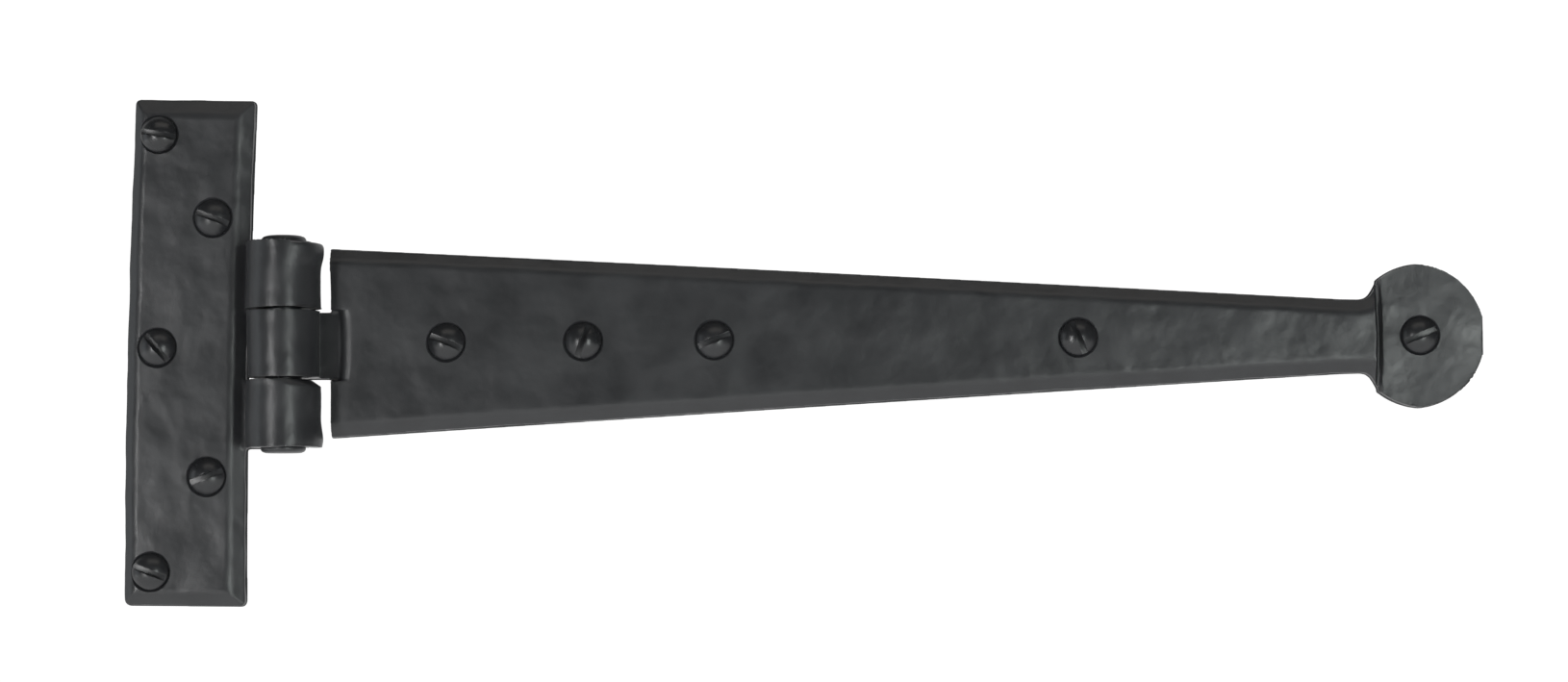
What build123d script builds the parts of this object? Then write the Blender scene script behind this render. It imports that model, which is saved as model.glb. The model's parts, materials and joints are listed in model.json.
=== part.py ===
from build123d import *
import os
from math import cos, radians, sin, sqrt

# Penny-end T hinge: an upright flange screwed to the frame, and a long tapered strap, ending in a
# round penny, screwed to the door. A peened pin through three knuckles joins the two leaves.
# +Z runs up along the pin, +X along the strap, and the front faces -Y. The backs of both leaves
# lie on the mounting plane Y = 0, and the origin is on it, behind the pin at the barrel's middle.
# All sizes are in millimetres.

# Barrel and pin
PIN_R = 4.0
BARREL_R = 8.6              # outer radius of the flange's knuckles
KNUCKLE_LENGTH = 14.8
KNUCKLE_GAP = 0.6           # end play each side of the strap's knuckle
TIGHT_CLEARANCE = 0.02      # radial, pin in the flange's knuckles
RUNNING_CLEARANCE = 0.08    # radial, pin in the strap's knuckle
PLANE_CLEARANCE = 0.25      # the moving knuckle stands off the mounting plane
PEENED_HEAD_LIP = 1.0       # the pin's ends are spread this much wider, in radius
PEENED_HEAD_HEIGHT = 1.3
PEENED_HEAD_ROUND = 0.6

# Both leaves
PLATE_THICKNESS = 4.5
TONGUE_THICKNESS = 3.2      # where a leaf narrows into its knuckles
BEVEL_WIDTH = 2.9
BEVEL_DEPTH = 1.8
CORNER_ROUND = 1.0

# Flange: a plate that leans a little off the pin, with its top towards the strap
FLANGE_WIDTH = 26.9
FLANGE_HEIGHT = 113.6
FLANGE_LEAN = 1.0           # degrees
FLANGE_EDGE_LAP = 0.15      # the flange's near edge lies this far inside the barrel's radius
FLANGE_CENTRE_Z = -1.1
NOTCH_CLEARANCE = 1.46      # from the strap's knuckle to the notch that it turns in
FLANGE_SHOULDER = 2.6       # from the notch back to the shoulder in front of a knuckle
FLANGE_SHOULDER_BOW = 0.6

# Strap: a tapered blade, a neck and a thinner penny, a little shorter than it is high
STRAP_END_CLEARANCE = 1.0   # from the barrel to the strap's wide end
STRAP_RISE = 0.55           # the blade's middle sits above the barrel's
STRAP_WIDTH = 42.3          # at the wide end
NECK_WIDTH = 16.2           # where the taper meets the penny
PENNY_R = 16.2
PENNY_CENTRE_X = 252.9
PENNY_SQUASH = 1.0          # each half of its rim is centred this far past the middle
PENNY_CROWN_ROUND = 10.0    # where the two halves meet
PENNY_FLAT = 0.55           # hammered off its far end
PENNY_THICKNESS = 3.4
NECK_FILLET = 2.6
STEP_FROM_PENNY_CENTRE = 9.1
STRAP_SHOULDER = 2.4        # from the wide end back to the shoulder in front of the knuckle
STRAP_SHOULDER_BOW = 1.1
SHOULDER_SIDE_CLEARANCE = 0.3

# Slotted round-head wood screws, No. 8 by 1 1/4 inch, in countersunk holes
SCREW_R = 2.085
SCREW_LENGTH = 31.75        # under the head
SCREW_PLAIN_LENGTH = 10.5
SCREW_ROOT_R = 1.45
SCREW_RUN_OUT = 0.8
SCREW_TIP_LENGTH = 4.5
SCREW_TIP_R = 0.2
HEAD_R = 4.05
HEAD_HEIGHT = 3.0
HEAD_RIM = 0.5              # upright edge of the head
HEAD_SEAT = 0.4             # chamfer under the head that seats in the countersink
SLOT_WIDTH = 1.3
SLOT_DEPTH = 1.8
HOLE_CLEARANCE = 0.415      # radial, shank in its hole
COUNTERSINK_RIM = 0.8       # the mouth is this much wider than the head, in radius
COUNTERSINK_ANGLE = 90

# Screw places and slot angles: across and up the flange from its middle, each kept at its distance
# from the nearest edges, and along the strap
FLANGE_SIDE = FLANGE_WIDTH / 2
FLANGE_END = FLANGE_HEIGHT / 2
FLANGE_SCREWS = [
    (5.6 - FLANGE_SIDE, FLANGE_END - 8.15, -10),
    (FLANGE_SIDE - 8.75, FLANGE_END - 26.85, -21),
    (6.35 - FLANGE_SIDE, 0.75, -50),
    (FLANGE_SIDE - 8.85, 28.85 - FLANGE_END, 20),
    (5.9 - FLANGE_SIDE, 7.55 - FLANGE_END, -22),
]
STRAP_SCREWS = [(35.6, -23), (66.2, 70), (95.5, 22), (176.8, -67)]
PENNY_SCREW_X = PENNY_CENTRE_X + 0.5
PENNY_SLOT_ANGLE = 23

# Worked out from the sizes above
AXIS_Y = -BARREL_R
BARREL_HALF = 1.5 * KNUCKLE_LENGTH + KNUCKLE_GAP
PEENED_HEAD_R = PIN_R + PEENED_HEAD_LIP
FLANGE_CENTRE_X = -(BARREL_R - FLANGE_EDGE_LAP + FLANGE_SIDE)
STRAP_KNUCKLE_R = BARREL_R - PLANE_CLEARANCE
STRAP_START = BARREL_R + STRAP_END_CLEARANCE
NOTCH_X = -(STRAP_KNUCKLE_R + NOTCH_CLEARANCE)
NOTCH_HALF = KNUCKLE_LENGTH / 2 + KNUCKLE_GAP
STEP_X = PENNY_CENTRE_X - STEP_FROM_PENNY_CENTRE
PENNY_END_X = PENNY_CENTRE_X - PENNY_SQUASH + PENNY_R - PENNY_FLAT
TAPER_END_X = PENNY_CENTRE_X + PENNY_SQUASH - sqrt(PENNY_R**2 - (NECK_WIDTH / 2) ** 2)
MOUTH_R = HEAD_R + COUNTERSINK_RIM
HEAD_SINK = COUNTERSINK_RIM + HEAD_SEAT
HOLE_R = SCREW_R + HOLE_CLEARANCE

LEAN = radians(FLANGE_LEAN)
FLANGE_BACK = Plane(
    origin=(FLANGE_CENTRE_X, 0, FLANGE_CENTRE_Z), x_dir=(cos(LEAN), 0, -sin(LEAN)), z_dir=(0, -1, 0)
)
FLANGE_FRONT = FLANGE_BACK.offset(PLATE_THICKNESS)
STRAP_BACK = Plane(origin=(0, 0, STRAP_RISE), x_dir=(1, 0, 0), z_dir=(0, -1, 0))
STRAP_FRONT = STRAP_BACK.offset(PLATE_THICKNESS)
PENNY_FRONT = STRAP_BACK.offset(PENNY_THICKNESS)


def eye_profile(z_low, radius, back_y, reach):
    """A leaf's end, rolled into an eye about the pin: its tongue runs out to x = reach."""
    front_y = -TONGUE_THICKNESS
    side = 1 if reach > 0 else -1
    meet_x = side * sqrt(radius**2 - (front_y - AXIS_Y) ** 2)
    with BuildSketch(Plane.XY.offset(z_low)) as profile:
        with BuildLine():
            Line((reach, front_y), (reach, back_y))
            Line((reach, back_y), (0, back_y))
            ThreePointArc((0, back_y), (-side * radius, AXIS_Y), (0, AXIS_Y - radius))
            ThreePointArc((0, AXIS_Y - radius), (side * radius, AXIS_Y), (meet_x, front_y))
            Line((meet_x, front_y), (reach, front_y))
        make_face()
    return profile.sketch


def shoulder_outline(edge_x, depth, bow, z_low, z_high):
    """The lowered area in front of a knuckle. Its far side bows away from the pin."""
    side = 1 if edge_x > 0 else -1
    near_x = edge_x - side * depth
    far_x = edge_x + side * depth
    with BuildSketch(Plane.XZ.offset(TONGUE_THICKNESS)) as lowered:
        with BuildLine():
            Polyline((far_x, z_low), (near_x, z_low), (near_x, z_high), (far_x, z_high))
            ThreePointArc((far_x, z_high), (far_x + side * bow, (z_low + z_high) / 2), (far_x, z_low))
        make_face()
    return lowered.sketch


def label_and_write(part, name):
    part.label = name
    export_step(part, f"parts/{name}.step")


os.makedirs("parts", exist_ok=True)

# Flange
with BuildPart() as flange:
    with BuildSketch(FLANGE_BACK):
        Rectangle(FLANGE_WIDTH, FLANGE_HEIGHT)
    extrude(amount=PLATE_THICKNESS)
    front = flange.faces().sort_by(Axis.Y)[0]
    chamfer(front.edges(), length=BEVEL_WIDTH, length2=BEVEL_DEPTH, reference=front)
    fillet(flange.edges().filter_by(Axis.Y), CORNER_ROUND)
    for z_low in (NOTCH_HALF, -BARREL_HALF):
        z_high = z_low + KNUCKLE_LENGTH
        lowered = shoulder_outline(NOTCH_X, FLANGE_SHOULDER, FLANGE_SHOULDER_BOW, z_low, z_high)
        extrude(lowered, amount=PLATE_THICKNESS, mode=Mode.SUBTRACT)
        extrude(eye_profile(z_low, BARREL_R, 0, NOTCH_X - FLANGE_SHOULDER / 2), amount=KNUCKLE_LENGTH)
    with BuildSketch(Plane.XZ):
        with Locations((NOTCH_X, 0)):
            Rectangle(2 * BARREL_R, 2 * NOTCH_HALF, align=(Align.MIN, Align.CENTER))
    extrude(amount=2 * BARREL_R, mode=Mode.SUBTRACT)
    with BuildSketch(Plane.XY.offset(-BARREL_HALF)):
        with Locations((0, AXIS_Y)):
            Circle(PIN_R + TIGHT_CLEARANCE)
    extrude(amount=2 * BARREL_HALF, mode=Mode.SUBTRACT)
    with Locations(FLANGE_FRONT):
        with Locations(*[(across, up) for across, up, slot_angle in FLANGE_SCREWS]):
            CounterSinkHole(HOLE_R, MOUTH_R, counter_sink_angle=COUNTERSINK_ANGLE)
label_and_write(flange.part, "flange")

# Strap
with BuildSketch(STRAP_BACK) as strap_outline:
    with Locations((PENNY_CENTRE_X + PENNY_SQUASH, 0)):
        Circle(PENNY_R)
    with Locations((PENNY_CENTRE_X - PENNY_SQUASH, 0)):
        Circle(PENNY_R, mode=Mode.INTERSECT)
    fillet(strap_outline.vertices(), PENNY_CROWN_ROUND)
    with Locations((PENNY_END_X, 0)):
        Rectangle(2 * PENNY_R, 2 * PENNY_R, align=(Align.MAX, Align.CENTER), mode=Mode.INTERSECT)
    with BuildLine():
        Polyline(
            (STRAP_START, STRAP_WIDTH / 2),
            (TAPER_END_X, NECK_WIDTH / 2),
            (PENNY_CENTRE_X, 0),
            (TAPER_END_X, -NECK_WIDTH / 2),
            (STRAP_START, -STRAP_WIDTH / 2),
            close=True,
        )
    make_face()
    inner_corners = strap_outline.vertices().filter_by_position(Axis.X, STRAP_START + 1, STEP_X)
    fillet(inner_corners, NECK_FILLET)

with BuildPart() as strap:
    with BuildSketch(STRAP_BACK):
        add(strap_outline.sketch_local)
        with Locations((STEP_X, 0)):
            Rectangle(STEP_X, STRAP_WIDTH, align=(Align.MAX, Align.CENTER), mode=Mode.INTERSECT)
    extrude(amount=PLATE_THICKNESS)
    front = strap.faces().sort_by(Axis.Y)[0]
    rim_edges = front.edges().filter_by(Axis.Z, reverse=True)
    chamfer(rim_edges, length=BEVEL_WIDTH, length2=BEVEL_DEPTH, reference=front)
    with BuildSketch(STRAP_BACK):
        add(strap_outline.sketch_local)
        with Locations((STEP_X, 0)):
            Rectangle(STEP_X, STRAP_WIDTH, align=(Align.MAX, Align.CENTER), mode=Mode.SUBTRACT)
    extrude(amount=PENNY_THICKNESS)
    shoulder_half = KNUCKLE_LENGTH / 2 + SHOULDER_SIDE_CLEARANCE
    lowered = shoulder_outline(STRAP_START, STRAP_SHOULDER, STRAP_SHOULDER_BOW, -shoulder_half, shoulder_half)
    extrude(lowered, amount=PLATE_THICKNESS, mode=Mode.SUBTRACT)
    tongue_reach = STRAP_START + STRAP_SHOULDER / 2
    strap_eye = eye_profile(-KNUCKLE_LENGTH / 2, STRAP_KNUCKLE_R, -PLANE_CLEARANCE, tongue_reach)
    extrude(strap_eye, amount=KNUCKLE_LENGTH)
    with BuildSketch(Plane.XY.offset(-KNUCKLE_LENGTH / 2)):
        with Locations((0, AXIS_Y)):
            Circle(PIN_R + RUNNING_CLEARANCE)
    extrude(amount=KNUCKLE_LENGTH, mode=Mode.SUBTRACT)
    with Locations(STRAP_FRONT):
        with Locations(*[(along, 0) for along, slot_angle in STRAP_SCREWS]):
            CounterSinkHole(HOLE_R, MOUTH_R, counter_sink_angle=COUNTERSINK_ANGLE)
    with Locations(PENNY_FRONT):
        with Locations((PENNY_SCREW_X, 0)):
            CounterSinkHole(HOLE_R, MOUTH_R, counter_sink_angle=COUNTERSINK_ANGLE)
label_and_write(strap.part, "strap")

# Hinge pin, peened over at both ends against the flange's knuckles
with BuildPart() as hinge_pin:
    with BuildSketch(Plane.XY.offset(-BARREL_HALF)):
        with Locations((0, AXIS_Y)):
            Circle(PIN_R)
    extrude(amount=2 * BARREL_HALF)
    for end in (1, -1):
        with BuildSketch(Plane.XY.offset(end * BARREL_HALF)):
            with Locations((0, AXIS_Y)):
                Circle(PEENED_HEAD_R)
        extrude(amount=end * PEENED_HEAD_HEIGHT)
    fillet(hinge_pin.edges().sort_by(Axis.Z)[0], PEENED_HEAD_ROUND)
    fillet(hinge_pin.edges().sort_by(Axis.Z)[-1], PEENED_HEAD_ROUND)
label_and_write(hinge_pin.part, "hinge_pin")


def make_screw(name, x, z, thickness, slot_angle):
    """A slotted round-head screw whose head seats in the countersink of a leaf of this thickness."""
    seat_y = HEAD_SINK - thickness
    top_y = seat_y - HEAD_HEIGHT
    thread_start = seat_y + SCREW_PLAIN_LENGTH
    tip_y = seat_y + SCREW_LENGTH
    turn = radians(slot_angle)
    with BuildPart() as screw:
        with BuildSketch(Plane(origin=(x, 0, z), x_dir=(1, 0, 0), z_dir=(0, 0, 1))):
            with BuildLine():
                TangentArc((0, top_y), (HEAD_R, seat_y - HEAD_SEAT - HEAD_RIM), tangent=(1, 0))
                Polyline(
                    (HEAD_R, seat_y - HEAD_SEAT - HEAD_RIM),
                    (HEAD_R, seat_y - HEAD_SEAT),
                    (HEAD_R - HEAD_SEAT, seat_y),
                    (SCREW_R, seat_y),
                    (SCREW_R, thread_start),
                    (SCREW_ROOT_R, thread_start),
                    (SCREW_ROOT_R, thread_start + SCREW_RUN_OUT),
                    (SCREW_R, thread_start + SCREW_RUN_OUT),
                    (SCREW_R, tip_y - SCREW_TIP_LENGTH),
                    (SCREW_TIP_R, tip_y),
                    (0, tip_y),
                    (0, top_y),
                )
            make_face()
        revolve(axis=Axis((x, 0, z), (0, 1, 0)))
        with BuildSketch(Plane(origin=(x, top_y, z), x_dir=(cos(turn), 0, sin(turn)), z_dir=(0, 1, 0))):
            Rectangle(3 * HEAD_R, SLOT_WIDTH)
        extrude(amount=SLOT_DEPTH, mode=Mode.SUBTRACT)
    label_and_write(screw.part, name)


# Screws
for number, (across, up, slot_angle) in enumerate(FLANGE_SCREWS, start=1):
    place = FLANGE_BACK.from_local_coords((across, up, 0))
    make_screw(f"flange_screw_{number}", place.X, place.Z, PLATE_THICKNESS, slot_angle)
for number, (along, slot_angle) in enumerate(STRAP_SCREWS, start=1):
    make_screw(f"strap_screw_{number}", along, STRAP_RISE, PLATE_THICKNESS, slot_angle)
make_screw("penny_screw", PENNY_SCREW_X, STRAP_RISE, PENNY_THICKNESS, PENNY_SLOT_ANGLE)
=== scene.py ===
import json
import math
from contextlib import contextmanager

import bmesh
import bpy
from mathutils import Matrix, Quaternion, Vector

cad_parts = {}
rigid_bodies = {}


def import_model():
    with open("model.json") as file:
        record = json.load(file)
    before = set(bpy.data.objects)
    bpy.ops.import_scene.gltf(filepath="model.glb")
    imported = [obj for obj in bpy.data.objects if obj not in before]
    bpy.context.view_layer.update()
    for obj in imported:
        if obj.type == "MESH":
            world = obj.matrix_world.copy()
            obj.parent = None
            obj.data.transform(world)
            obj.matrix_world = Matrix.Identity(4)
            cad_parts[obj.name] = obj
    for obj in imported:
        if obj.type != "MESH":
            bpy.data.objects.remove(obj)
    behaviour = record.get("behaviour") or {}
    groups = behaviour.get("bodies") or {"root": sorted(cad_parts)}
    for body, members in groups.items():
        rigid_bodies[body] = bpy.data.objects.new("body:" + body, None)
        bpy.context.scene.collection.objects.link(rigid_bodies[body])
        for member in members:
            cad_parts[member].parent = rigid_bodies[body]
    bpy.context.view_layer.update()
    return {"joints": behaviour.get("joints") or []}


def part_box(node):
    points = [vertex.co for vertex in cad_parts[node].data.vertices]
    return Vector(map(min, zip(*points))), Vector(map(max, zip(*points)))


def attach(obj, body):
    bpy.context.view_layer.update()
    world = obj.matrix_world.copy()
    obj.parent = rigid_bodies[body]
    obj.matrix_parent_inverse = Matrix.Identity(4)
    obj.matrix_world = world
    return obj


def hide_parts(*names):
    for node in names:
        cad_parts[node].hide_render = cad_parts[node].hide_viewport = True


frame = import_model()

bl_info = {
    "name": "Penny-end T hinge",
    "version": (1, 0, 0),
    "blender": (4, 5, 0),
    "location": "3D View > Sidebar > Hinge",
    "description": "Models a forged, powder-coated T hinge around its measured frame",
    "category": "Add Mesh",
}

MM = 0.001
WEAR = 0.2 * MM  # what rounding the edges takes off an end face
JOINT = frame["joints"][0]
PIN_Y = JOINT["pos_m"][1]
BARREL_R = -PIN_Y
FLANGE_BODY = JOINT["parent"]
STRAP_BODY = JOINT["child"]

# Slot directions of the screws, in degrees from +X towards +Z, in the order of the holes
SLOT_ANGLES = {
    "flange_screw_1": -10,
    "flange_screw_2": -21,
    "flange_screw_3": -50,
    "flange_screw_4": 20,
    "flange_screw_5": -22,
    "strap_screw_1": -23,
    "strap_screw_2": 70,
    "strap_screw_3": 22,
    "strap_screw_4": -67,
    "penny_screw": 23,
}

# Hand-forged unevenness of each drum of the barrel, from its foot up: share of the height, and how
# wide the drum is there when its side by the plate stays put
UPPER_DRUM = ((0.0, 1.0), (0.15, 0.995), (0.55, 0.992), (0.82, 1.03), (0.9, 1.032), (1.0, 0.99))
LOWER_DRUM = ((0.0, 1.005), (0.12, 1.02), (0.45, 0.993), (0.8, 1.0), (0.9, 1.0), (1.0, 0.87))
MIDDLE_DRUM = ((0.0, 1.0), (0.5, 0.995), (1.0, 1.0))
UPPER_DROOP = 0.6 * MM  # its top sags this much on the free side
FREE_SIDE_X = 3 * MM
DRUM_STEPS = 20

# How far cutters reach past what they cut
PAST_FACE = 9 * MM
PAST_SIDE = 20 * MM
NEARLY = 0.01 * MM

# Forging details of both leaves
FORWARD_OF = -0.6 * MM  # hammer marks lie in front of this, and the backs stay flat
HAMMER_MARKS = (  # texture, size of one mark, depth
    ("hammer_marks", 11 * MM, 0.42 * MM),
    ("planishing", 4.5 * MM, 0.12 * MM),
    ("scale_pits", 1.6 * MM, 0.04 * MM),
)
CREST_ROUND = 0.9 * MM
COUNTERSINK_RIM = 0.8 * MM
HOLE_CLEARANCE = 0.415 * MM

# The flange
FACE_SHIFT = 0.5 * MM  # its face lies this much nearer the side away from the pin
CROWN_SLOPE = 0.9 * MM  # its upper slope is this much wider than the others
CORNER_ROUND = 1.3 * MM
TONGUE_REACH = 11 * MM  # from the pin's axis to where a tongue is inside the plate
FLANGE_BORE_R = 4.05 * MM

# The strap
NECK_X = 236 * MM  # where its taper ends
BLANK_EXTRA = 9 * MM  # how much its blank is longer than the blade, at the wide end
NECK_FLARE = (  # place along the strap and half width there, both in mm
    (240.2, 8.35),
    (241.4, 8.6),
    (242.3, 9.3),
    (243.0, 10.4),
    (243.6, 11.5),
    (244.3, 12.4),
    (246, 13.7),
    (257, 14.2),
)
BOW_CUTS = 11
START_CUT_END = 30 * MM  # how far up and down the cuts at its wide end reach
START_LEAN = 0.6 * MM  # how much nearer the pin the upper cut is at its far end
STRAP_BORE_R = 4.1 * MM
BACK_CLEARANCE = 0.25 * MM  # between the middle knuckle and the mounting plane
SHOULDER_SIDE = 0.35 * MM  # from the middle knuckle to the side of the lowered area
SHOULDER_FOOT = 1.9 * MM  # from the strap's wide end to the foot of the shoulder
SHOULDER_BOW = 0.5 * MM
# The shoulder's rounded wall, from its foot to well past the face: rise of each step, and how far it
# then leans towards the penny, both in mm
SHOULDER_WALL = ((0.0, 0.15), (0.35, 0.35), (0.35, 0.7), (0.2, 1.1), (0.1, 1.6), (4.0, 40.0))
SHOULDER_FIRST_RISE = 0.4 * MM

# The penny
PENNY_FLAT = 0.45 * MM  # hammered off its far end
PENNY_SPREAD = 2.35 * MM  # between the centres of its right and left arcs
STEP_FROM_CENTRE = 11.1 * MM  # from its left arc's centre to where the neck ends
ROOT_LAP = 0.6 * MM  # its disc starts this far past the step
RECESS_START = 0.75 * MM  # and here the blade's front is cut down to it
CHISEL_START = 0.3 * MM  # past the step as well
CHISEL_WIDTH = 0.6 * MM
CHISEL_DEPTH = 1.2 * MM
CHISEL_BOW = 0.5 * MM
CHISEL_HALF = 13 * MM
CHISEL_LEANS = (-1.0 * MM, 2.0 * MM)  # of its left and right walls, at the outer end

# The pin: share of its head's rise, and size against the step before it
PEENED_HEAD = ((0.0, 1.24), (0.45, 1.0), (0.35, 0.93), (0.2, 0.85))
PIN_R = 4.0 * MM

# The screws
SEAT = 0.4 * MM  # depth of the ring that the head stands on
DOME_STEPS = 11
TIP_LENGTH = 4.5 * MM
TIP_R = 0.15 * MM
RUN_OUT = 0.8 * MM  # between the plain shank and the thread's root
THREAD_START = 1.0 * MM  # from the plain shank's end

# Sizes of the patches in the paint and of the fibres in the paper
PAINT_PATCH = 9 * MM
PAPER_FIBRE = 6 * MM

# The studio, in metres
MIDDLE_X = 0.11
FLOOR_Z = -0.32
FLOOR_SIZE = 3


def linear(hex_colour):
    """An sRGB hex colour as linear RGBA."""
    channels = [int(hex_colour[i : i + 2], 16) / 255 for i in (1, 3, 5)]
    return tuple(c / 12.92 if c <= 0.04045 else ((c + 0.055) / 1.055) ** 2.4 for c in channels) + (1.0,)


def length_property(name, description, default):
    """A size in metres that a user may change."""
    return bpy.props.FloatProperty(
        name=name,
        description=description,
        default=default,
        min=0,
        precision=5,
        subtype="DISTANCE",
        unit="LENGTH",
    )


def colour_property(name, description, hex_colour):
    """A paint colour that a user may change."""
    return bpy.props.FloatVectorProperty(
        name=name,
        description=description,
        default=linear(hex_colour),
        size=4,
        min=0,
        max=1,
        subtype="COLOR",
    )


class HingeLeafSizes(bpy.types.PropertyGroup):
    thickness: length_property("Plate thickness", "Thickness of both leaves", 4.5 * MM)
    tongue: length_property("Tongue thickness", "Thickness where a leaf runs into its knuckles", 3.2 * MM)
    knuckle: length_property("Knuckle length", "Length of each of the barrel's three knuckles", 14.8 * MM)
    gap: length_property("Knuckle gap", "End play between the knuckles", 0.6 * MM)
    bevel_width: length_property("Bevel width", "Width of the slope round a leaf's face", 2.9 * MM)
    bevel_depth: length_property("Bevel depth", "Fall of the slope round a leaf's face", 1.8 * MM)
    flange_width: length_property("Flange width", "Width of the upright leaf's plate", 26.9 * MM)
    flange_height: length_property("Flange height", "Height of the upright leaf's plate", 113.6 * MM)
    flange_lean: bpy.props.FloatProperty(
        name="Flange lean",
        description="How far the upright leaf leans towards the strap",
        default=math.radians(1),
        subtype="ANGLE",
        unit="ROTATION",
    )
    flange_bow: length_property("Flange bow", "How far the plate's middle bows away from the pin", 0.65 * MM)
    notch: length_property("Notch", "From the pin's axis to the notch between the knuckles", 8.4 * MM)
    strap_start: length_property("Strap start", "From the pin's axis to the strap's wide end", 9.6 * MM)
    strap_rise: length_property("Strap rise", "How far the strap's middle is above the barrel's", 0.55 * MM)
    strap_bow: length_property("Strap bow", "How far the strap bows up at mid length", 0.2 * MM)
    strap_width: length_property("Strap width", "Width of the strap at its wide end", 42.3 * MM)
    neck_width: length_property("Neck width", "Width of the strap at its narrow end", 16.5 * MM)
    penny: length_property("Penny radius", "Radius of the round end", 16.1 * MM)
    penny_thickness: length_property("Penny thickness", "Thickness of the round end", 3.4 * MM)


class HingeScrewSizes(bpy.types.PropertyGroup):
    head: length_property("Head radius", "Radius of the round head", 4.05 * MM)
    dome: length_property("Dome height", "Height of the head's dome over its upright rim", 2.1 * MM)
    rim: length_property("Rim height", "Height of the head's upright rim", 0.5 * MM)
    slot_width: length_property("Slot width", "Width of the driver slot", 1.3 * MM)
    slot_depth: length_property("Slot depth", "Depth of the driver slot", 1.8 * MM)
    length: length_property("Length", "Length under the head", 31.75 * MM)
    shank: length_property("Shank radius", "Radius of the plain shank and of the thread's crest", 2.085 * MM)
    plain: length_property("Plain length", "Length of the shank with no thread", 10.5 * MM)
    root: length_property("Root radius", "Radius at the bottom of the thread", 1.45 * MM)
    pitch: length_property("Pitch", "Rise of the thread in one turn", 1.69 * MM)


class HingeColours(bpy.types.PropertyGroup):
    leaf_paint: colour_property("Leaf paint", "Powder coat on both leaves", "#2b2c2e")
    pin_paint: colour_property("Pin paint", "Powder coat on the pin", "#2a2b2d")
    screw_paint: colour_property("Screw paint", "Japan black on the screws", "#232426")
    floor: colour_property("Floor", "Studio floor", "#f4f4f4")


# Modelling steps


def activate(piece):
    """Makes a piece the only selected object."""
    bpy.ops.object.select_all(action="DESELECT")
    piece.select_set(True)
    bpy.context.view_layer.objects.active = piece


def settle(name):
    """Names the new object and puts its place into its mesh."""
    piece = bpy.context.object
    piece.name = piece.data.name = name
    bpy.ops.object.transform_apply(location=True, rotation=True, scale=True)
    return piece


def add_box(name, low, high):
    """A box between two corners."""
    bpy.ops.object.select_all(action="DESELECT")
    low, high = Vector(low), Vector(high)
    bpy.ops.mesh.primitive_cube_add(size=1, location=(low + high) / 2, scale=high - low)
    return settle(name)


def add_drum(name, centre, radius, length, along, sides=96):
    """A cylinder whose axis runs along Y or Z."""
    bpy.ops.object.select_all(action="DESELECT")
    turn = (math.pi / 2, 0, 0) if along == "Y" else (0, 0, 0)
    bpy.ops.mesh.primitive_cylinder_add(
        vertices=sides, radius=radius, depth=length, location=centre, rotation=turn
    )
    return settle(name)


@contextmanager
def editing(piece, kind):
    """Edit mode on one piece, picking its vertices, edges or faces."""
    activate(piece)
    bpy.ops.object.mode_set(mode="EDIT")
    bpy.ops.mesh.select_mode(type=kind)
    yield
    bpy.ops.object.mode_set(mode="OBJECT")


def pick_points(piece, test):
    """Selects the vertices whose place passes the test."""
    bpy.ops.mesh.select_all(action="DESELECT")
    shape = bmesh.from_edit_mesh(piece.data)
    for point in shape.verts:
        point.select_set(test(point.co))
    bmesh.update_edit_mesh(piece.data)


def pick_edges(piece, test):
    """Selects the edges whose middle and direction pass the test."""
    bpy.ops.mesh.select_all(action="DESELECT")
    shape = bmesh.from_edit_mesh(piece.data)
    for edge in shape.edges:
        start, end = (point.co for point in edge.verts)
        edge.select_set(test((start + end) / 2, (end - start).normalized()))
    bmesh.update_edit_mesh(piece.data)


def pick_faces(piece, test):
    """Selects the faces whose middle and normal pass the test."""
    bpy.ops.mesh.select_all(action="DESELECT")
    shape = bmesh.from_edit_mesh(piece.data)
    for face in shape.faces:
        face.select_set(test(face.calc_center_median(), face.normal))
    bmesh.update_edit_mesh(piece.data)


def modify(piece, kind, **settings):
    """Adds a modifier to a piece and applies it."""
    activate(piece)
    modifier = piece.modifiers.new(kind.title(), kind)
    for name, value in settings.items():
        setattr(modifier, name, value)
    bpy.ops.object.modifier_apply(modifier=modifier.name)


def ease_edges(piece, width, angle):
    """Takes the sharpness off every edge that turns more than this many degrees."""
    modify(piece, "BEVEL", width=width, segments=2, limit_method="ANGLE", angle_limit=math.radians(angle))


def combine(piece, tool, operation):
    """Joins a tool to a piece or cuts it away, and removes the tool."""
    modify(piece, "BOOLEAN", operation=operation, solver="EXACT", object=tool)
    bpy.data.objects.remove(tool)


def join(pieces, name):
    """Several separate solids as one object."""
    activate(pieces[0])
    for piece in pieces:
        piece.select_set(True)
    bpy.ops.object.join()
    return settle(name)


def bow_side(piece, levels, half, amount, test=lambda point: True):
    """Bows upright edges sideways, most at mid height, after cutting them at even levels."""
    with editing(piece, "EDGE"):
        pick_edges(piece, lambda middle, direction: abs(direction.z) > 0.9 and test(middle))
        bpy.ops.mesh.subdivide(number_cuts=levels)
    with editing(piece, "VERT"):
        for step in range(1, levels + 1):
            height = half * (2 * step / (levels + 1) - 1)
            near = half / (levels + 1) / 2
            pick_points(piece, lambda point: abs(point.z - height) < near and test(point))
            shift = amount * (1 - (height / half) ** 2)
            bpy.ops.transform.translate(value=(shift, 0, 0))


def slide(piece, test, amount):
    """Moves the vertices whose place passes the test along X, in edit mode."""
    bpy.ops.mesh.select_mode(type="VERT")
    pick_points(piece, test)
    bpy.ops.transform.translate(value=(amount, 0, 0))
    bpy.ops.mesh.select_mode(type="FACE")


def place(piece, location, turn=(0, 0, 0)):
    """Moves and turns a finished shape to its place and puts that into its mesh."""
    activate(piece)
    piece.location = location
    piece.rotation_euler = turn
    bpy.ops.object.transform_apply(location=True, rotation=True, scale=True)


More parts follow.
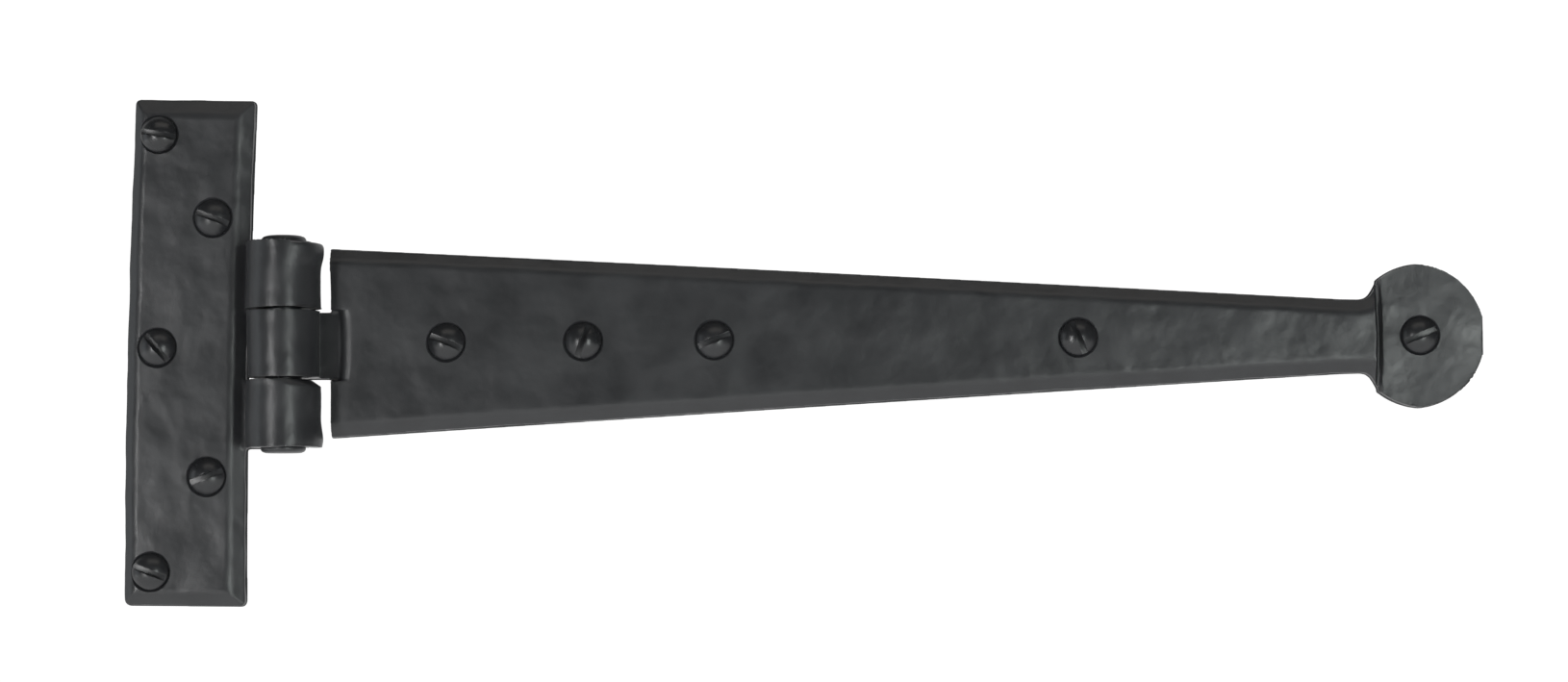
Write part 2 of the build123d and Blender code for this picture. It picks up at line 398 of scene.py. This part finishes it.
def uneven_drum(name, low_z, sizes, radius, rings, droop=0.0):
    """One knuckle's drum, a little uneven where it was rolled by hand."""
    height = sizes.knuckle + 3 * WEAR
    low_z -= 1.5 * WEAR
    drum = add_drum(name, (0, PIN_Y, low_z + height / 2), radius, height, "Z")
    with editing(drum, "EDGE"):
        pick_edges(drum, lambda middle, direction: abs(direction.z) > 0.9)
        bpy.ops.mesh.subdivide(number_cuts=DRUM_STEPS - 1)
    with editing(drum, "VERT"):
        for step in range(DRUM_STEPS + 1):
            share = step / DRUM_STEPS
            out = ring_size(rings, share)
            level = low_z + share * height
            pick_points(drum, lambda point: abs(point.z - level) < height / DRUM_STEPS / 4)
            bpy.ops.transform.resize(value=(out, 1, 1), center_override=(-radius, PIN_Y, level))
        top_z = low_z + height - NEARLY
        pick_points(drum, lambda point: point.z > top_z and point.x > FREE_SIDE_X)
        bpy.ops.transform.translate(value=(0, 0, -droop))
    return drum


def ring_size(rings, share):
    """The size between two rings, eased so that a side curves."""
    for (start, first), (end, last) in zip(rings, rings[1:]):
        if share <= end:
            t = (share - start) / (end - start)
            return first + (last - first) * t * t * (3 - 2 * t)
    return rings[-1][1]


def weather(piece, voxel, kept):
    """Remeshes a forged leaf finely, wears its edges, gives its front shallow hammer marks, and keeps
    this share of the triangles."""
    modify(piece, "REMESH", mode="VOXEL", voxel_size=voxel, adaptivity=0)
    modify(piece, "SMOOTH", factor=0.5, iterations=6)
    front = piece.vertex_groups.new(name="front")
    forward = [point.index for point in piece.data.vertices if point.co.y < FORWARD_OF]
    front.add(forward, 1.0, "REPLACE")
    for name, size, depth in HAMMER_MARKS:
        texture = bpy.data.textures.new(name, "CLOUDS")
        texture.noise_scale = size
        texture.noise_depth = 1
        modify(
            piece,
            "DISPLACE",
            texture=texture,
            texture_coords="LOCAL",
            strength=depth,
            mid_level=1.0,
            vertex_group="front",
        )
    piece.vertex_groups.clear()
    modify(piece, "DECIMATE", ratio=kept)


def soften_crest(piece, thickness):
    """Rounds the crest where a leaf's face meets the slope round it."""
    with editing(piece, "EDGE"):
        bpy.ops.mesh.select_all(action="DESELECT")
        shape = bmesh.from_edit_mesh(piece.data)
        for edge in shape.edges:
            flat = all(abs(point.co.y + thickness) < NEARLY for point in edge.verts)
            edge.select_set(flat and edge.calc_face_angle(0) > 0.2)
        bmesh.update_edit_mesh(piece.data)
        bpy.ops.mesh.bevel(offset=CREST_ROUND, segments=3, affect="EDGES")


def hole_cutter(node, sizes, leaf_thickness):
    """The countersunk hole for one screw, as a solid to cut away."""
    low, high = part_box(node)
    x, z = (low.x + high.x) / 2, (low.z + high.z) / 2
    hole, mouth = sizes.shank + HOLE_CLEARANCE, sizes.head + COUNTERSINK_RIM
    cone = mouth - hole
    start_y, end_y = -leaf_thickness + cone, 1 * MM
    cutter = add_drum("hole", (x, (start_y + end_y) / 2, z), hole, end_y - start_y, "Y", 64)
    with editing(cutter, "FACE"):
        pick_faces(cutter, lambda middle, normal: normal.y < -0.9)
        reach = cone + COUNTERSINK_RIM
        bpy.ops.mesh.extrude_region_move(TRANSFORM_OT_translate={"value": (0, -reach, 0)})
        wide = (hole + reach) / hole
        bpy.ops.transform.resize(value=(wide, 1, wide), center_override=(x, start_y - reach, z))
    return cutter


def cut_holes(leaf, nodes, thicknesses):
    """Cuts the countersunk holes of these screws through a leaf."""
    sizes = bpy.context.scene.hinge_screws
    cutters = [hole_cutter(node, sizes, thickness) for node, thickness in zip(nodes, thicknesses)]
    combine(leaf, join(cutters, "holes"), "DIFFERENCE")


def finish_piece(piece, material, body, nodes, angle=35):
    """Shades a piece, gives it its material, and ties it to the frame."""
    activate(piece)
    bpy.ops.object.shade_smooth_by_angle(angle=math.radians(angle))
    piece.data.materials.clear()
    piece.data.materials.append(material)
    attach(piece, body)
    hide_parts(*nodes)


# Materials


def add_node(tree, kind, settings=None, **links):
    """Adds a node with its settings. A socket's name, or i and its number, maps to a value or to another
    node's output."""
    node = tree.nodes.new(kind)
    for name, value in (settings or {}).items():
        setattr(node, name, value)
    for name, value in links.items():
        key = int(name[1:]) if name[1:].isdigit() else name.replace("_", " ")
        socket = node.inputs[key]
        if isinstance(value, bpy.types.NodeSocket):
            tree.links.new(value, socket)
        else:
            socket.default_value = value
    return node


def paint_material(name, colour, roughness, grain, relief, mottle):
    """A stove-hardened black coat. Patches of tint, and of sheen by the mottle, keep broad faces from
    looking flat. Grain is the size of its orange peel and relief the depth, which break up highlights.
    Dust specks under the coat are finer still."""
    material = bpy.data.materials.new(name)
    material.use_nodes = True
    tree = material.node_tree
    tree.nodes.clear()
    place_on = add_node(tree, "ShaderNodeTexCoord").outputs["Object"]
    patches = add_node(tree, "ShaderNodeTexNoise", Vector=place_on, Scale=1 / PAINT_PATCH, Detail=3.0)
    peel = add_node(tree, "ShaderNodeTexNoise", Vector=place_on, Scale=1 / grain, Detail=2.0, Roughness=0.6)
    dust = add_node(tree, "ShaderNodeTexNoise", Vector=place_on, Scale=1 / (grain * 0.3), Detail=1.0)
    spread = add_node(
        tree,
        "ShaderNodeMapRange",
        Value=patches.outputs["Fac"],
        From_Min=0.3,
        From_Max=0.7,
        To_Min=-mottle,
        To_Max=mottle,
    )
    rough = add_node(tree, "ShaderNodeMath", {"operation": "ADD"}, i0=spread.outputs["Result"], i1=roughness)
    lift = add_node(tree, "ShaderNodeMapRange", Value=patches.outputs["Fac"], From_Min=0.25, From_Max=0.75)
    tint = add_node(tree, "ShaderNodeMix", {"data_type": "RGBA"}, i0=lift.outputs["Result"])
    tint.inputs[6].default_value = tuple(c * 0.85 for c in colour[:3]) + (1.0,)
    tint.inputs[7].default_value = tuple(c * 1.18 for c in colour[:3]) + (1.0,)
    fine = add_node(tree, "ShaderNodeBump", Height=dust.outputs["Fac"], Strength=0.35, Distance=relief * 0.3)
    coarse = add_node(
        tree,
        "ShaderNodeBump",
        Height=peel.outputs["Fac"],
        Strength=0.6,
        Distance=relief,
        Normal=fine.outputs["Normal"],
    )
    shader = add_node(
        tree,
        "ShaderNodeBsdfPrincipled",
        Base_Color=tint.outputs[2],
        Roughness=rough.outputs["Value"],
        IOR=1.5,
        Normal=coarse.outputs["Normal"],
    )
    add_node(tree, "ShaderNodeOutputMaterial", Surface=shader.outputs["BSDF"])
    return material


def powder_coat():
    """Satin black polyester powder, sprayed on forged steel and baked: it looks dark grey where it
    catches the light, with broad soft highlights."""
    return paint_material(
        "Satin black powder coat",
        bpy.context.scene.hinge_colours.leaf_paint,
        roughness=0.36,
        grain=0.9 * MM,
        relief=0.02 * MM,
        mottle=0.05,
    )


# Pieces


class HINGE_OT_flange_leaf(bpy.types.Operator):
    """Models the upright leaf with its two knuckles"""

    bl_idname = "hinge.flange_leaf"
    bl_label = "Flange leaf"

    def execute(self, context):
        sizes = context.scene.hinge_leaves
        low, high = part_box("flange")
        lean = sizes.flange_lean
        half_width, half_height = sizes.flange_width / 2, sizes.flange_height / 2
        middle_x = low.x + half_width * math.cos(lean) + half_height * math.sin(lean)
        half_width, half_height = half_width + WEAR, half_height + WEAR / 2
        side = sizes.thickness - sizes.bevel_depth
        low_corner, high_corner = (-half_width, -side, -half_height), (half_width, 0, half_height)
        plate = add_box("forged_flange_leaf", low_corner, high_corner)
        bow_side(plate, BOW_CUTS, half_height, -sizes.flange_bow)
        with editing(plate, "FACE"):
            pick_faces(plate, lambda middle, normal: normal.y < -0.9)
            bpy.ops.mesh.inset(thickness=sizes.bevel_width, depth=sizes.bevel_depth, use_even_offset=True)
            bpy.ops.transform.translate(value=(-FACE_SHIFT, 0, 0))
        with editing(plate, "VERT"):
            crown = half_height - 1.3 * sizes.bevel_width
            pick_points(plate, lambda point: point.y < -side - NEARLY and point.z > crown)
            bpy.ops.transform.translate(value=(0, 0, -CROWN_SLOPE))
        with editing(plate, "EDGE"):
            ends = half_height - CORNER_ROUND
            pick_edges(plate, lambda middle, direction: abs(direction.y) > 0.95 and abs(middle.z) > ends)
            bpy.ops.mesh.bevel(offset=CORNER_ROUND, segments=5, affect="EDGES")
        soften_crest(plate, sizes.thickness)
        place(plate, (middle_x, 0, (low.z + high.z) / 2), (0, lean, 0))
        foot = 0.5 * sizes.knuckle + sizes.gap
        notch = add_box("notch", (-sizes.notch + WEAR, -PAST_SIDE, -foot), (PAST_SIDE, PAST_FACE, foot))
        combine(plate, notch, "DIFFERENCE")
        parts = [plate]
        drums = ((foot, UPPER_DRUM, UPPER_DROOP), (-foot - sizes.knuckle, LOWER_DRUM, 0.0))
        for low_z, rings, droop in drums:
            top_z = low_z + sizes.knuckle + WEAR
            parts.append(add_box("tongue", (-TONGUE_REACH, -sizes.tongue, low_z - WEAR), (0, 0, top_z)))
            parts.append(uneven_drum("drum", low_z, sizes, BARREL_R, rings, droop))
        plate = join(parts, plate.name)
        weather(plate, voxel=0.25 * MM, kept=0.45)
        bore_length = 2 * (foot + sizes.knuckle + 5 * MM)
        combine(plate, add_drum("bore", (0, PIN_Y, 0), FLANGE_BORE_R, bore_length, "Z", 64), "DIFFERENCE")
        nodes = [name for name in SLOT_ANGLES if name.startswith("flange")]
        cut_holes(plate, nodes, [sizes.thickness] * len(nodes))
        finish_piece(plate, powder_coat(), FLANGE_BODY, ["flange"])
        return {"FINISHED"}


def strap_blank(sizes):
    """The blade, long at its wide end, with the bevel along both sides and the flare at its neck."""
    start = sizes.strap_start
    taper = (sizes.strap_width - sizes.neck_width) / (NECK_X - start)
    half = (sizes.strap_width + BLANK_EXTRA * taper) / 2 + WEAR
    side = sizes.thickness - sizes.bevel_depth
    first_x = start - BLANK_EXTRA
    blade = add_box("forged_strap_leaf", (first_x, -side, -half), (NECK_X, 0, half))
    with editing(blade, "FACE"):
        pick_faces(blade, lambda middle, normal: normal.x > 0.9)
        width = sizes.neck_width / 2 + WEAR
        bpy.ops.transform.resize(value=(1, 1, width / half), center_override=(NECK_X, 0, 0))
        x = NECK_X
        for along, wide in NECK_FLARE:
            step = along * MM - x
            bpy.ops.mesh.extrude_region_move(TRANSFORM_OT_translate={"value": (step, 0, 0)})
            x = along * MM
            bpy.ops.transform.resize(value=(1, 1, wide * MM / width), center_override=(x, 0, 0))
            width = wide * MM
    with editing(blade, "EDGE"):
        pick_edges(blade, lambda middle, direction: abs(direction.x) > 0.9 and middle.x < 0.6 * NECK_X)
        bpy.ops.mesh.subdivide(number_cuts=BOW_CUTS)
    with editing(blade, "VERT"):
        for step in range(1, BOW_CUTS + 1):
            share = step / (BOW_CUTS + 1)
            x = first_x + (NECK_X - first_x) * share
            pick_points(blade, lambda point: abs(point.x - x) < 1 * MM)
            lift = sizes.strap_bow * (1 - (2 * share - 1) ** 2)
            bpy.ops.transform.translate(value=(0, 0, lift))
    with editing(blade, "FACE"):
        pick_faces(blade, lambda middle, normal: normal.y < -0.9)
        bpy.ops.mesh.inset(thickness=sizes.bevel_width, depth=sizes.bevel_depth, use_even_offset=True)
    soften_crest(blade, sizes.thickness)
    place(blade, (0, 0, sizes.strap_rise))
    tall = sizes.knuckle / 2 + WEAR
    for end in (1, -1):
        low_z, high_z = sorted((end * tall, end * START_CUT_END))
        corner = add_box("corner", (-PAST_FACE, -PAST_FACE, low_z), (start, PAST_FACE, high_z))
        with editing(corner, "VERT"):
            pick_points(corner, lambda point: point.x > 0 and point.z > START_CUT_END - NEARLY)
            bpy.ops.transform.translate(value=(-START_LEAN, 0, 0))
        combine(blade, corner, "DIFFERENCE")
    back_low = (-PAST_FACE, -BACK_CLEARANCE, -PAST_FACE)
    back = add_box("back", back_low, (start - 2 * BACK_CLEARANCE, PAST_FACE, PAST_FACE))
    combine(blade, back, "DIFFERENCE")
    return blade


def chisel_cut(start_x, penny_thickness, rise):
    """The groove that a chisel leaves where the neck steps down to the penny, bowed to the right."""
    low_y = -penny_thickness + CHISEL_DEPTH
    first, last = (start_x, -PAST_FACE, -CHISEL_HALF), (start_x + CHISEL_WIDTH, low_y, CHISEL_HALF)
    wedge = add_box("chisel", first, last)
    bow_side(wedge, 9, CHISEL_HALF, CHISEL_BOW)
    middle_x = start_x + (CHISEL_WIDTH + CHISEL_BOW) / 2
    left_lean, right_lean = CHISEL_LEANS
    with editing(wedge, "VERT"):
        pick_points(wedge, lambda point: point.y < -PAST_FACE + NEARLY and point.x < middle_x)
        bpy.ops.transform.translate(value=(left_lean, 0, 0))
        pick_points(wedge, lambda point: point.y < -PAST_FACE + NEARLY and point.x > middle_x)
        bpy.ops.transform.translate(value=(right_lean, 0, 0))
    place(wedge, (0, 0, rise))
    return wedge


def shoulder_cut(sizes):
    """What is hammered away in front of the middle knuckle. Its far wall bows and rounds over."""
    start = sizes.strap_start
    half = sizes.knuckle / 2 + SHOULDER_SIDE
    front_y = -sizes.tongue - SHOULDER_FIRST_RISE
    foot = (start + SHOULDER_FOOT, -sizes.tongue, half)
    lowered = add_box("shoulder", (-PAST_FACE, front_y, -half), foot)
    bow_side(lowered, 7, half, SHOULDER_BOW, lambda point: point.x > start)
    with editing(lowered, "FACE"):
        pick_faces(lowered, lambda middle, normal: normal.y < -0.9)
        for rise, lean in SHOULDER_WALL:
            if rise:
                move = {"value": (0, -rise * MM, 0)}
                bpy.ops.mesh.extrude_region_move(TRANSFORM_OT_translate=move)
                front_y -= rise * MM
            slide(lowered, lambda point: point.x > start and point.y < front_y + NEARLY, lean * MM)
            pick_faces(lowered, lambda middle, normal: normal.y < -0.9)
    return lowered


class HINGE_OT_strap_leaf(bpy.types.Operator):
    """Models the long leaf with its knuckle and its round end"""

    bl_idname = "hinge.strap_leaf"
    bl_label = "Strap leaf"

    def execute(self, context):
        sizes = context.scene.hinge_leaves
        end_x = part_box("strap")[1].x
        blade = strap_blank(sizes)
        rise, thick = sizes.strap_rise, sizes.penny_thickness
        right_x = end_x - sizes.penny + PENNY_FLAT
        left_x = right_x + PENNY_SPREAD
        radius = sizes.penny + WEAR
        penny = add_drum("penny", (right_x, -thick / 2, rise), radius, thick, "Y", 160)
        other = add_drum("rim", (left_x, -thick / 2, rise), radius, 2 * thick, "Y", 160)
        combine(penny, other, "INTERSECT")
        end = add_box("end", (end_x, -PAST_FACE, -PAST_SIDE), (end_x + PAST_FACE, PAST_FACE, PAST_SIDE))
        combine(penny, end, "DIFFERENCE")
        step_x = left_x - STEP_FROM_CENTRE
        root_low = (step_x - PAST_SIDE, -PAST_FACE, -PAST_SIDE)
        root = add_box("root", root_low, (step_x + ROOT_LAP, PAST_FACE, PAST_SIDE))
        combine(penny, root, "DIFFERENCE")
        recess_low = (step_x + RECESS_START, -PAST_FACE, -PAST_SIDE)
        combine(blade, add_box("recess", recess_low, (end_x, -thick, PAST_SIDE)), "DIFFERENCE")
        combine(blade, shoulder_cut(sizes), "DIFFERENCE")
        half_knuckle = sizes.knuckle / 2
        drum = uneven_drum("drum", -half_knuckle, sizes, BARREL_R - BACK_CLEARANCE, MIDDLE_DRUM)
        for part in (blade, penny):
            combine(part, chisel_cut(step_x + CHISEL_START, thick, rise), "DIFFERENCE")
        blade = join([blade, penny, drum], blade.name)
        weather(blade, voxel=0.26 * MM, kept=0.32)
        bore_length = 3 * sizes.knuckle
        combine(blade, add_drum("bore", (0, PIN_Y, 0), STRAP_BORE_R, bore_length, "Z", 64), "DIFFERENCE")
        nodes = [name for name in SLOT_ANGLES if not name.startswith("flange")]
        thicknesses = [thick if name.startswith("penny") else sizes.thickness for name in nodes]
        cut_holes(blade, nodes, thicknesses)
        finish_piece(blade, powder_coat(), STRAP_BODY, ["strap"])
        return {"FINISHED"}


class HINGE_OT_pin(bpy.types.Operator):
    """Models the pin with its two hammered ends"""

    bl_idname = "hinge.pin"
    bl_label = "Hinge pin"

    def execute(self, context):
        sizes = context.scene.hinge_leaves
        low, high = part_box("hinge_pin")
        half = 1.5 * sizes.knuckle + sizes.gap
        pin = add_drum("peened_hinge_pin", (0, PIN_Y, 0), PIN_R, 2 * half, "Z", 64)
        rise = (high.z - low.z) / 2 - half
        for end in (1, -1):
            with editing(pin, "FACE"):
                pick_faces(pin, lambda middle, normal: normal.z * end > 0.9)
                z = end * half
                bpy.ops.mesh.extrude_region_move(TRANSFORM_OT_translate={"value": (0, 0, 0)})
                for share, ratio in PEENED_HEAD:
                    if share:
                        bpy.ops.mesh.extrude_region_move(
                            TRANSFORM_OT_translate={"value": (0, 0, end * rise * share)}
                        )
                        z += end * rise * share
                    bpy.ops.transform.resize(value=(ratio, ratio, 1), center_override=(0, PIN_Y, z))
        ease_edges(pin, width=0.15 * MM, angle=25)
        # Powder over hammered ends lies thinner and rougher, so that they catch the light unevenly
        material = paint_material(
            "Powder coat over peened steel",
            context.scene.hinge_colours.pin_paint,
            roughness=0.38,
            grain=0.8 * MM,
            relief=0.03 * MM,
            mottle=0.05,
        )
        finish_piece(pin, material, FLANGE_BODY, ["hinge_pin"])
        return {"FINISHED"}


def wood_screw(sizes):
    """One slotted round-head screw at the origin, its seat on Y = 0 and its head towards -Y."""
    head = add_drum("wood_screw", (0, -SEAT / 2, 0), sizes.head, SEAT, "Y", 64)
    with editing(head, "FACE"):
        pick_faces(head, lambda middle, normal: normal.y > 0.9)
        narrow = (sizes.head - SEAT) / sizes.head
        bpy.ops.transform.resize(value=(narrow, 1, narrow), center_override=(0, 0, 0))
        pick_faces(head, lambda middle, normal: normal.y < -0.9)
        bpy.ops.mesh.extrude_region_move(TRANSFORM_OT_translate={"value": (0, -sizes.rim, 0)})
        sphere = (sizes.head**2 + sizes.dome**2) / (2 * sizes.dome)
        widest = math.asin(sizes.head / sphere)
        y, radius = -SEAT - sizes.rim, sizes.head
        for step in range(1, DOME_STEPS + 1):
            lean = widest * (1 - step / (DOME_STEPS + 0.4))
            next_y = -SEAT - sizes.rim - (sphere * math.cos(lean) - (sphere - sizes.dome))
            next_radius = sphere * math.sin(lean)
            bpy.ops.mesh.extrude_region_move(TRANSFORM_OT_translate={"value": (0, next_y - y, 0)})
            ratio = next_radius / radius
            bpy.ops.transform.resize(value=(ratio, 1, ratio), center_override=(0, next_y, 0))
            y, radius = next_y, next_radius
    reach, half_slot = 2 * sizes.head, sizes.slot_width / 2
    slot = add_box("slot", (-reach, y - 1 * MM, -half_slot), (reach, y + sizes.slot_depth, half_slot))
    combine(head, slot, "DIFFERENCE")
    ease_edges(head, width=0.13 * MM, angle=40)
    shank = add_drum("shank", (0, sizes.plain / 2, 0), sizes.shank, sizes.plain, "Y", 48)
    with editing(shank, "FACE"):
        pick_faces(shank, lambda middle, normal: normal.y < -0.9)
        bpy.ops.transform.translate(value=(0, -0.5 * MM, 0))
        pick_faces(shank, lambda middle, normal: normal.y > 0.9)
        threaded = sizes.length - sizes.plain - RUN_OUT - TIP_LENGTH
        steps = ((RUN_OUT, sizes.root), (threaded, sizes.root), (TIP_LENGTH, TIP_R))
        radius, y = sizes.shank, sizes.plain
        for step, next_radius in steps:
            bpy.ops.mesh.extrude_region_move(TRANSFORM_OT_translate={"value": (0, step, 0)})
            y += step
            ratio = next_radius / radius
            bpy.ops.transform.resize(value=(ratio, 1, ratio), center_override=(0, y, 0))
            radius = next_radius
    combine(head, shank, "UNION")
    combine(head, thread_ridge(sizes), "UNION")
    return head


def thread_ridge(sizes):
    """The thread as one helical ridge that fades to the point."""
    height = sizes.shank - sizes.root + 0.1 * MM
    first_y = sizes.plain + THREAD_START
    bpy.ops.object.select_all(action="DESELECT")
    bpy.ops.mesh.primitive_circle_add(
        vertices=3,
        radius=height / 1.5,
        fill_type="NGON",
        location=(sizes.shank - height / 1.5, first_y, 0),
        rotation=(0, 0, -math.pi / 2),
    )
    ridge = settle("thread")
    turns = int((sizes.length - sizes.plain - 2 * RUN_OUT) / sizes.pitch)
    modify(
        ridge,
        "SCREW",
        axis="Y",
        angle=2 * math.pi,
        screw_offset=sizes.pitch,
        iterations=turns,
        steps=20,
        render_steps=20,
        use_merge_vertices=False,
    )
    tip = first_y + turns * sizes.pitch
    with editing(ridge, "VERT"):
        bpy.ops.mesh.select_all(action="SELECT")
        bpy.ops.mesh.remove_doubles(threshold=0.001 * MM)
        bpy.ops.mesh.select_all(action="DESELECT")
        bpy.ops.mesh.select_non_manifold()
        bpy.ops.mesh.fill_holes(sides=4)
        bpy.ops.mesh.select_all(action="SELECT")
        bpy.ops.mesh.normals_make_consistent(inside=False)
        pick_points(ridge, lambda point: point.y > tip - 0.4 * MM)
        bpy.ops.transform.resize(
            value=(0.12, 1, 0.12),
            center_override=(0, tip, 0),
            use_proportional_edit=True,
            proportional_edit_falloff="LINEAR",
            proportional_size=TIP_LENGTH,
        )
    return ridge


class HINGE_OT_screws(bpy.types.Operator):
    """Models one wood screw and sets a copy in each hole"""

    bl_idname = "hinge.screws"
    bl_label = "Wood screws"

    def execute(self, context):
        sizes = context.scene.hinge_screws
        # Japan black, dipped and stoved: smoother and glossier than the leaves, so that the heads glint
        material = paint_material(
            "Semi-gloss japanned steel",
            context.scene.hinge_colours.screw_paint,
            roughness=0.3,
            grain=0.6 * MM,
            relief=0.012 * MM,
            mottle=0.05,
        )
        pattern = wood_screw(sizes)
        for node, slot_angle in SLOT_ANGLES.items():
            activate(pattern)
            bpy.ops.object.duplicate(linked=False)
            screw = bpy.context.object
            screw.name = screw.data.name = "wood_" + node
            low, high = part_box(node)
            hole = ((low.x + high.x) / 2, high.y - sizes.length, (low.z + high.z) / 2)
            place(screw, hole, (0, -math.radians(slot_angle), 0))
            body = FLANGE_BODY if node.startswith("flange") else STRAP_BODY
            finish_piece(screw, material, body, [node], 40)
        bpy.data.objects.remove(pattern)
        return {"FINISHED"}


class HINGE_OT_studio(bpy.types.Operator):
    """Sets up the floor, the lights and the camera"""

    bl_idname = "hinge.studio"
    bl_label = "Studio"

    def execute(self, context):
        scene = context.scene
        scene.view_settings.view_transform = "Standard"
        add_floor(scene.hinge_colours.floor)
        add_world(scene)
        add_camera(scene)
        for name, azimuth, height, distance, width, tall, power, tint in LIGHTS:
            add_light(name, azimuth, height, distance, width, tall, power, tint)
        return {"FINISHED"}


# Softboxes round the hinge: azimuth in degrees from the front towards +X, height of the middle,
# distance, width and height in metres, power in watts, and colour
LIGHTS = (
    ("Left strip", -32, -0.34, 1.1, 0.14, 1.0, 7.6, "#ffffff"),
    ("Right strip", 25, -0.34, 1.1, 0.18, 1.0, 7.4, "#f8fffc"),
    ("Low fill", -8, -0.62, 1.0, 1.2, 0.3, 6.0, "#f4f8ff"),
    ("Left side", -80, -0.1, 1.0, 0.4, 1.0, 1.2, "#f4fbff"),
    ("Top fill", 8, 0.95, 0.6, 1.2, 0.5, 1.6, "#fff8f0"),
)


def add_light(name, azimuth, height, distance, width, tall, power, tint):
    """One softbox that faces the hinge's middle."""
    angle = math.radians(azimuth)
    target = Vector((MIDDLE_X, 0, 0))
    place_at = target + Vector((math.sin(angle) * distance, -math.cos(angle) * distance, height))
    bpy.ops.object.light_add(type="AREA", location=place_at)
    light = bpy.context.object
    light.name = light.data.name = name
    light.data.shape = "RECTANGLE"
    light.data.size, light.data.size_y = width, tall
    light.data.energy = power
    light.data.color = linear(tint)[:3]
    light.rotation_euler = (target - place_at).to_track_quat("-Z", "Y").to_euler()


def add_floor(colour):
    """A wide pale floor well under the hinge."""
    bpy.ops.object.select_all(action="DESELECT")
    bpy.ops.mesh.primitive_plane_add(size=1, location=(MIDDLE_X, 0, FLOOR_Z))
    floor = settle("studio_floor")
    with editing(floor, "VERT"):
        bpy.ops.mesh.select_all(action="SELECT")
        bpy.ops.transform.resize(value=(FLOOR_SIZE, FLOOR_SIZE, 1))
        bpy.ops.mesh.subdivide(number_cuts=6)
    # Matt paper with a faint tooth. Its own glow keeps it nearly white under the dim softboxes
    material = bpy.data.materials.new("Matt white paper")
    material.use_nodes = True
    tree = material.node_tree
    tree.nodes.clear()
    place_on = add_node(tree, "ShaderNodeTexCoord").outputs["Object"]
    fibres = add_node(tree, "ShaderNodeTexNoise", Vector=place_on, Scale=1 / PAPER_FIBRE, Detail=2.0)
    bump = add_node(tree, "ShaderNodeBump", Height=fibres.outputs["Fac"], Strength=0.1, Distance=0.1 * MM)
    shader = add_node(
        tree,
        "ShaderNodeBsdfPrincipled",
        Base_Color=tuple(colour),
        Roughness=0.9,
        Emission_Color=(1, 1, 1, 1),
        Emission_Strength=0.55,
        Normal=bump.outputs["Normal"],
    )
    add_node(tree, "ShaderNodeOutputMaterial", Surface=shader.outputs["BSDF"])
    floor.data.materials.append(material)


def add_world(scene):
    """A white sweep behind everything. The room that the hinge reflects is nearly dark in front of the
    mounting plane and bright behind it."""
    world = bpy.data.worlds.new("Studio")
    scene.world = world
    world.use_nodes = True
    tree = world.node_tree
    tree.nodes.clear()
    seen = add_node(tree, "ShaderNodeLightPath").outputs["Is Camera Ray"]
    direction = add_node(tree, "ShaderNodeTexCoord").outputs["Generated"]
    depth = add_node(tree, "ShaderNodeSeparateXYZ", Vector=direction).outputs["Y"]
    behind = add_node(
        tree, "ShaderNodeMapRange", Value=depth, From_Min=0.0, From_Max=0.35, To_Min=0.05, To_Max=0.8
    )
    room = add_node(tree, "ShaderNodeBackground", Color=(1, 1, 1, 1), Strength=behind.outputs["Result"])
    sweep = add_node(tree, "ShaderNodeBackground", Color=(1, 1, 1, 1), Strength=1.05)
    mixed = add_node(
        tree, "ShaderNodeMixShader", i0=seen, i1=room.outputs["Background"], i2=sweep.outputs["Background"]
    )
    add_node(tree, "ShaderNodeOutputWorld", Surface=mixed.outputs["Shader"])


def add_camera(scene):
    """A short telephoto a little under the hinge's middle, looking slightly up, and a little rolled."""
    distance, elevation, roll = 0.7, math.radians(-3.5), math.radians(0.41)
    target = Vector((111.07 * MM, 0, 0.5 * MM))
    back = Vector((0, -math.cos(elevation), math.sin(elevation)))
    bpy.ops.object.camera_add(location=target + back * distance)
    camera = bpy.context.object
    camera.name = camera.data.name = "Studio camera"
    camera.data.sensor_width = 36
    camera.data.lens = 71.52
    camera.data.clip_start = 0.01
    camera.data.clip_end = 50
    camera.rotation_mode = "QUATERNION"
    camera.rotation_quaternion = (-back).to_track_quat("-Z", "Y") @ Quaternion((0, 0, 1), -roll)
    scene.camera = camera


class HINGE_PT_panel(bpy.types.Panel):
    """The hinge's pieces, in the order they are made"""

    bl_label = "Penny-end T hinge"
    bl_idname = "HINGE_PT_panel"
    bl_space_type = "VIEW_3D"
    bl_region_type = "UI"
    bl_category = "Hinge"

    def draw(self, context):
        for group in (context.scene.hinge_leaves, context.scene.hinge_screws, context.scene.hinge_colours):
            box = self.layout.box()
            for name in group.__annotations__:
                box.prop(group, name)
        for operator in OPERATORS:
            self.layout.operator(operator.bl_idname)


GROUPS = {"hinge_leaves": HingeLeafSizes, "hinge_screws": HingeScrewSizes, "hinge_colours": HingeColours}
OPERATORS = (HINGE_OT_flange_leaf, HINGE_OT_strap_leaf, HINGE_OT_pin, HINGE_OT_screws, HINGE_OT_studio)
CLASSES = (*GROUPS.values(), *OPERATORS, HINGE_PT_panel)


def register():
    for item in CLASSES:
        bpy.utils.register_class(item)
    for name, group in GROUPS.items():
        setattr(bpy.types.Scene, name, bpy.props.PointerProperty(type=group))


def unregister():
    for name in GROUPS:
        delattr(bpy.types.Scene, name)
    for item in reversed(CLASSES):
        bpy.utils.unregister_class(item)


def main():
    register()
    bpy.ops.hinge.flange_leaf()
    bpy.ops.hinge.strap_leaf()
    bpy.ops.hinge.pin()
    bpy.ops.hinge.screws()
    bpy.ops.hinge.studio()


if __name__ == "__main__":
    main()
